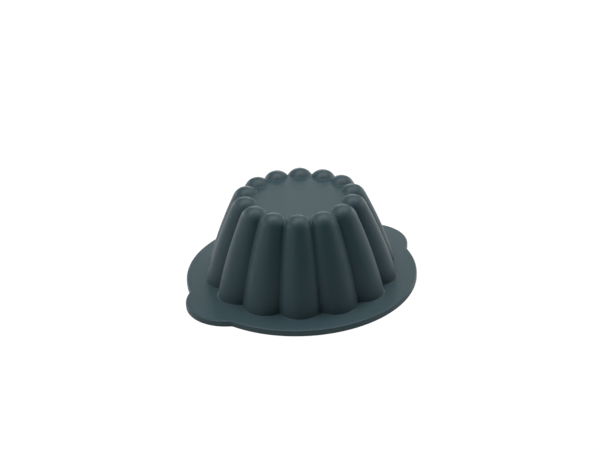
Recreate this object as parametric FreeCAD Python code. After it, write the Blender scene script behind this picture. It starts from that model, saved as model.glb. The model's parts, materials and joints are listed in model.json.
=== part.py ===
import FreeCAD, Part
import math
import os

# Charlotte mould: one piece of moulded silicone, standing crown up on its flange.
# Origin at the middle of the flange's underside, +Z up through the crown, with a
# finger tab and the crest of a flute on each side along X. All sizes in millimetres.

# Flange, as wide past the feet of the flutes all round, and its two finger tabs
flange_width = 18.8
flange_thickness = 5.6
rim_top_round = 1.8
rim_bottom_round = 0.8
tab_radius = 40.5
tab_overhang = 13.5
tab_notch_round = 3.0

# Flutes: round-headed tapers with slightly bowed flanks, leaning in towards the crown
overall_height = 87.2
flute_count = 14
flute_foot_centre = 69.8
flute_foot_radius = 21.4
flute_flank_radius = 480.0
flute_run = 18.9
flute_head_radius = 13.5

# Flat crown, lower than the flute heads and a little wider than the ring of their middles,
# and the steep core that carries it, whose foot is hidden inside the ring of flutes
crown_drop = 4.9
crown_margin = 3.5
crown_edge_round = 6.0
core_foot_inset = 8.0

# Wall of the moulded body, and the roundings of its creases outside, its ridges inside and its mouth
wall = 2.4
crown_wall = 2.8
crease_round = 0.8
ridge_round = 2.4
mouth_round = 2.0

# Worked out from the sizes above
flange_radius = flute_foot_centre + flute_foot_radius + flange_width
tab_centre = flange_radius + tab_overhang - tab_radius
flute_rise = overall_height - flute_head_radius - flange_thickness
flute_length = math.hypot(flute_run, flute_rise)
flute_lean = math.degrees(math.atan2(flute_run, flute_rise))
crown_height = overall_height - crown_drop
crown_radius = flute_foot_centre - flute_run + crown_margin
core_foot_radius = flute_foot_centre - core_foot_inset
core_taper = (core_foot_radius - crown_radius) / (crown_height - flange_thickness)

# Two faces that meet at more than this angle make a crease; less is a smooth join
smooth_angle = math.radians(15.0)


def vec(x, y, z):
    return FreeCAD.Vector(x, y, z)


def polar(centre, radius, angle):
    """The point at an angle on a circle that stands in the XZ plane."""
    return centre + vec(radius * math.cos(angle), 0, radius * math.sin(angle))


def creases(solid):
    """The edges at which two faces of a solid meet in a corner, its floor's edges left out."""
    found = []
    for edge in solid.Edges:
        if edge.BoundBox.ZMax < solid.BoundBox.ZMin + flange_thickness / 2:
            continue
        spot = edge.valueAt((edge.FirstParameter + edge.LastParameter) / 2)
        normals = []
        for face in solid.ancestorsOfType(edge, Part.Face):
            u, v = face.Surface.parameter(spot)
            normals.append(face.normalAt(u, v))
        if len(normals) == 2 and normals[0].getAngle(normals[1]) > smooth_angle:
            found.append(edge)
    return found


def flange():
    """The flat flange with its two finger tabs and rounded rim."""
    plate = Part.makeCylinder(flange_radius, flange_thickness)
    for side in (-1, 1):
        tab = Part.makeCylinder(tab_radius, flange_thickness, vec(side * tab_centre, 0, 0))
        plate = plate.fuse(tab)
    plate = plate.removeSplitter()
    notches = [edge for edge in plate.Edges if edge.BoundBox.ZLength > flange_thickness / 2]
    plate = plate.makeFillet(tab_notch_round, notches)
    upper = [edge for edge in plate.Edges if edge.BoundBox.ZMin > flange_thickness / 2]
    plate = plate.makeFillet(rim_top_round, upper)
    lower = [edge for edge in plate.Edges if edge.BoundBox.ZMax < rim_bottom_round / 2]
    return plate.makeFillet(rim_bottom_round, lower)


def flute(skin, floor):
    """One flute on the X axis, its surface moved inwards by skin, reaching below floor."""
    head_radius = flute_head_radius - skin
    foot_radius = flute_foot_radius - skin
    flank_radius = flute_flank_radius - skin
    head = vec(0, 0, flute_length)
    foot = vec(foot_radius, 0, 0)
    # The bowed flank passes the foot and runs on smoothly into the round head.
    spread = flank_radius - head_radius
    span = math.hypot(foot_radius, flute_length)
    corner = math.acos((span ** 2 + spread ** 2 - flank_radius ** 2) / (2 * span * spread))
    inward = math.atan2(-flute_length, foot_radius) - corner
    bow = polar(head, spread, inward)
    touch_angle = inward + math.pi
    tail = flange_thickness - floor + foot_radius
    tail_angle = math.asin((-tail - bow.z) / flank_radius)
    touch = polar(head, head_radius, touch_angle)
    end = polar(bow, flank_radius, tail_angle)
    middle = polar(bow, flank_radius, (tail_angle + touch_angle) / 2)
    shoulder = polar(head, head_radius, (touch_angle + math.pi / 2) / 2)
    top = vec(0, 0, flute_length + head_radius)
    base = vec(0, 0, end.z)
    outline = [
        Part.LineSegment(base, end).toShape(),
        Part.Arc(end, middle, touch).toShape(),
        Part.Arc(touch, shoulder, top).toShape(),
        Part.LineSegment(top, base).toShape(),
    ]
    solid = Part.Face(Part.Wire(outline)).revolve(vec(0, 0, 0), vec(0, 0, 1), 360)
    solid.rotate(vec(0, 0, 0), vec(0, 1, 0), -flute_lean)
    solid.translate(vec(flute_foot_centre, 0, flange_thickness))
    return solid


def core(skin, top_skin, floor):
    """The tapered core under the flat crown, with its top edge rounded."""
    top = crown_height - top_skin
    top_radius = crown_radius - skin + core_taper * top_skin
    floor_radius = top_radius + core_taper * (top - floor)
    cone = Part.makeCone(floor_radius, top_radius, top - floor, vec(0, 0, floor))
    rim = [edge for edge in cone.Edges if edge.BoundBox.ZMin > top - crown_edge_round]
    return cone.makeFillet(crown_edge_round, rim)


def fluted_body(skin, top_skin, floor):
    """The core with its ring of flutes, cut level at floor."""
    first = flute(skin, floor)
    flutes = []
    for number in range(flute_count):
        copy = first.copy()
        copy.rotate(vec(0, 0, 0), vec(0, 0, 1), 360.0 / flute_count * number)
        flutes.append(copy)
    solid = core(skin, top_skin, floor - flange_thickness).multiFuse(flutes)
    return solid.common(Part.makeCylinder(flange_radius, overall_height - floor, vec(0, 0, floor)))


def outside():
    """The mould as if it were full: flange and fluted body, with every crease rounded."""
    full = flange().fuse(fluted_body(0.0, 0.0, 0.0)).removeSplitter()
    return full.makeFillet(crease_round, creases(full))


def cavity():
    """The space inside, one wall in from the fluted body, open below the flange."""
    space = fluted_body(wall, crown_wall, -flange_thickness).removeSplitter()
    return space.makeFillet(ridge_round, creases(space))


def charlotte_mould():
    shell = outside().cut(cavity())
    underside = [edge for edge in shell.Edges if edge.BoundBox.ZMax < rim_bottom_round / 2]
    reach = flange_radius - flange_width / 2
    mouth = [edge for edge in underside if edge.valueAt(edge.FirstParameter).Length < reach]
    return shell.makeFillet(mouth_round, mouth)


os.makedirs("parts", exist_ok=True)
mould = charlotte_mould()
mould.exportStep("parts/charlotte_mould.step")
print("solids", len(mould.Solids), "valid", mould.isValid(), "volume", round(mould.Volume))
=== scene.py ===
import json
import math

import bpy
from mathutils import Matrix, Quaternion, Vector

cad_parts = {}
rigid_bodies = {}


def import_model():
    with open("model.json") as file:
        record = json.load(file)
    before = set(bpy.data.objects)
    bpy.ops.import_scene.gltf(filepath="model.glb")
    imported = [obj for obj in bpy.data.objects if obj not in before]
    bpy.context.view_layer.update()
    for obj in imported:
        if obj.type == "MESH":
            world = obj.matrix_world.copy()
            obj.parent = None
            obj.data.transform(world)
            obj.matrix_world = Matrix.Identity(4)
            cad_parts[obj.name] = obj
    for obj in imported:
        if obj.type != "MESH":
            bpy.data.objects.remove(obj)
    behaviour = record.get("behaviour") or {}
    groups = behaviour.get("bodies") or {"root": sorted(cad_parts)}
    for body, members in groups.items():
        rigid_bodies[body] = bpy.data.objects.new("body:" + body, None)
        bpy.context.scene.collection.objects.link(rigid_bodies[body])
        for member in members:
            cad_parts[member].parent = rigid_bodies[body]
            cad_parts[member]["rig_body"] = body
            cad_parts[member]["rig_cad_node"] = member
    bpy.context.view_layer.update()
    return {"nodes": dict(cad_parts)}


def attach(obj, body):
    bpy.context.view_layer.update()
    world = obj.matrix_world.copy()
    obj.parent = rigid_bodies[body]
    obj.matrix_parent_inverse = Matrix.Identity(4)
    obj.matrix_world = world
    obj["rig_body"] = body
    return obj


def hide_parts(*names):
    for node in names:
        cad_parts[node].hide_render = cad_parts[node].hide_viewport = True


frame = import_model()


# The mould. One skin of silicone, pressed in a closed mould: flutes, crown, flange and tabs in one.
# It takes its form from the solid, joined into one closed skin so that light runs over it smoothly.
merge_distance = 0.00001
smooth_angle = math.radians(40)
bpy.ops.object.select_all(action="DESELECT")
solid = frame["nodes"]["charlotte_mould"]
mould = solid.copy()
mould.data = solid.data.copy()
mould.name = "silicone_skin"
mould.parent = None
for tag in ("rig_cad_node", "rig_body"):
    del mould[tag]
bpy.context.scene.collection.objects.link(mould)
bpy.context.view_layer.objects.active = mould
mould.select_set(True)
bpy.ops.object.mode_set(mode="EDIT")
bpy.ops.mesh.select_all(action="SELECT")
bpy.ops.mesh.remove_doubles(threshold=merge_distance)
bpy.ops.object.mode_set(mode="OBJECT")
bpy.ops.object.shade_smooth_by_angle(angle=smooth_angle)
leading = mould.modifiers.new("flat_faces_lead", "WEIGHTED_NORMAL")
leading.mode = "FACE_AREA"
leading.weight = 50
leading.keep_sharp = True
bpy.ops.object.modifier_apply(modifier=leading.name)

# The silicone is matte, dark green-grey and faintly clouded, with a fine grain all over.
darker_silicone = (0.0248, 0.0585, 0.0706, 1)
lighter_silicone = (0.0280, 0.0643, 0.0774, 1)
silicone = bpy.data.materials.new("matte_silicone")
silicone.use_nodes = True
nodes = silicone.node_tree.nodes
links = silicone.node_tree.links
surface = nodes["Principled BSDF"]
surface.inputs["Roughness"].default_value = 0.48
surface.inputs["IOR"].default_value = 1.45
surface.inputs["Sheen Weight"].default_value = 0.08
surface.inputs["Sheen Roughness"].default_value = 0.3
place = nodes.new("ShaderNodeTexCoord")
clouds = nodes.new("ShaderNodeTexNoise")
clouds.inputs["Scale"].default_value = 22
clouds.inputs["Detail"].default_value = 4
links.new(place.outputs["Object"], clouds.inputs["Vector"])
shade = nodes.new("ShaderNodeValToRGB")
shade.color_ramp.elements[0].position = 0.3
shade.color_ramp.elements[0].color = darker_silicone
shade.color_ramp.elements[1].position = 0.7
shade.color_ramp.elements[1].color = lighter_silicone
links.new(clouds.outputs["Fac"], shade.inputs["Fac"])
links.new(shade.outputs["Color"], surface.inputs["Base Color"])
grain = nodes.new("ShaderNodeTexNoise")
grain.inputs["Scale"].default_value = 1800
grain.inputs["Detail"].default_value = 3
links.new(place.outputs["Object"], grain.inputs["Vector"])
bump = nodes.new("ShaderNodeBump")
bump.inputs["Distance"].default_value = 0.00004
bump.inputs["Strength"].default_value = 0.5
links.new(grain.outputs["Fac"], bump.inputs["Height"])
links.new(bump.outputs["Normal"], surface.inputs["Normal"])
mould.data.materials.clear()
mould.data.materials.append(silicone)

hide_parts("charlotte_mould")
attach(mould, "root")


# The floor. A plain white sweep, matte under the lamps so that it keeps the mould's soft shadow.
# To the camera it also glows, so that it reads as white while the lamps stay at a plain level.
floor_width = 12
glow_strength = 1.12
glow_share = 0.85
bpy.ops.object.select_all(action="DESELECT")
bpy.ops.mesh.primitive_plane_add(size=floor_width, location=(0, 0, 0))
floor = bpy.context.object
floor.name = "floor"
sweep = bpy.data.materials.new("white_sweep")
sweep.use_nodes = True
nodes = sweep.node_tree.nodes
links = sweep.node_tree.links
nodes.remove(nodes["Principled BSDF"])
card = nodes.new("ShaderNodeBsdfDiffuse")
card.inputs["Color"].default_value = (0.8, 0.8, 0.8, 1)
glow = nodes.new("ShaderNodeEmission")
glow.inputs["Color"].default_value = (1, 1, 1, 1)
glow.inputs["Strength"].default_value = glow_strength
rays = nodes.new("ShaderNodeLightPath")
share = nodes.new("ShaderNodeMath")
share.operation = "MULTIPLY"
share.inputs[1].default_value = glow_share
links.new(rays.outputs["Is Camera Ray"], share.inputs[0])
blend = nodes.new("ShaderNodeMixShader")
links.new(share.outputs["Value"], blend.inputs["Fac"])
links.new(card.outputs["BSDF"], blend.inputs[1])
links.new(glow.outputs["Emission"], blend.inputs[2])
links.new(blend.outputs["Shader"], nodes["Material Output"].inputs["Surface"])
floor.data.materials.append(sweep)


# The light. A room that is white to the camera alone, and a ring of soft lamps round the mould.
# The strongest stand high at its left and high behind it, and three low ones behind graze its edges.
room = bpy.data.worlds.new("white_room")
bpy.context.scene.world = room
room.use_nodes = True
nodes = room.node_tree.nodes
links = room.node_tree.links
air = nodes["Background"]
air.inputs["Color"].default_value = (1, 1, 1, 1)
rays = nodes.new("ShaderNodeLightPath")
links.new(rays.outputs["Is Camera Ray"], air.inputs["Strength"])

camera_place = Vector((-0.50303, -0.67481, 0.48443))
camera_aim = Vector((0.00008, -0.00006, 0.05216))
camera_azimuth = math.atan2(camera_place.x - camera_aim.x, camera_aim.y - camera_place.y)
mould_middle = Vector((0, 0, 0.05))
lamp_distance = 1.3
lamp_width = 0.7
lamp_height = 0.5


def soft_lamp(name, turn, rise, power):
    """A soft lamp aimed at the mould: its turn to the camera's right and its rise, in degrees."""
    angle = camera_azimuth + math.radians(turn)
    out = lamp_distance * math.cos(math.radians(rise))
    up = mould_middle.z + lamp_distance * math.sin(math.radians(rise))
    place = Vector((math.sin(angle) * out, -math.cos(angle) * out, up))
    bpy.ops.object.light_add(type="AREA", location=place)
    lamp = bpy.context.object
    lamp.name = name
    lamp.data.shape = "RECTANGLE"
    lamp.data.size = lamp_width
    lamp.data.size_y = lamp_height
    lamp.data.energy = power
    lamp.rotation_mode = "QUATERNION"
    lamp.rotation_quaternion = (place - mould_middle).to_track_quat("Z", "Y")


for name, turn, rise, power in (
    ("high_back_lamp", 180, 70, 4.8),
    ("high_left_lamp", -90, 70, 5.2),
    ("high_right_lamp", 90, 70, 3.0),
    ("left_lamp", -90, 25, 3.3),
    ("right_lamp", 90, 25, 3.2),
    ("front_left_lamp", -45, 25, 1.4),
    ("back_right_lamp", 135, 50, 2.5),
    ("low_back_lamp", 180, 9, 3.1),
    ("low_back_left_lamp", -135, 8, 3.0),
    ("low_back_right_lamp", 135, 8, 3.4),
):
    soft_lamp(name, turn, rise, power)


# The camera. It stands at the photograph's own angle, above the mould's left front, with a long lens.
# Its place, aim and roll are those at which the flange and the flutes fall where the photograph has them.
camera_roll = math.radians(-2.16)
bpy.ops.object.camera_add(location=camera_place)
camera = bpy.context.object
camera.name = "camera"
camera.data.sensor_width = 36
camera.data.lens = 60.48
camera.rotation_mode = "QUATERNION"
facing = (camera_place - camera_aim).to_track_quat("Z", "Y")
camera.rotation_quaternion = facing @ Quaternion((0, 0, 1), camera_roll)
bpy.context.scene.camera = camera
bpy.context.scene.view_settings.view_transform = "Standard"

bpy.context.view_layer.update()
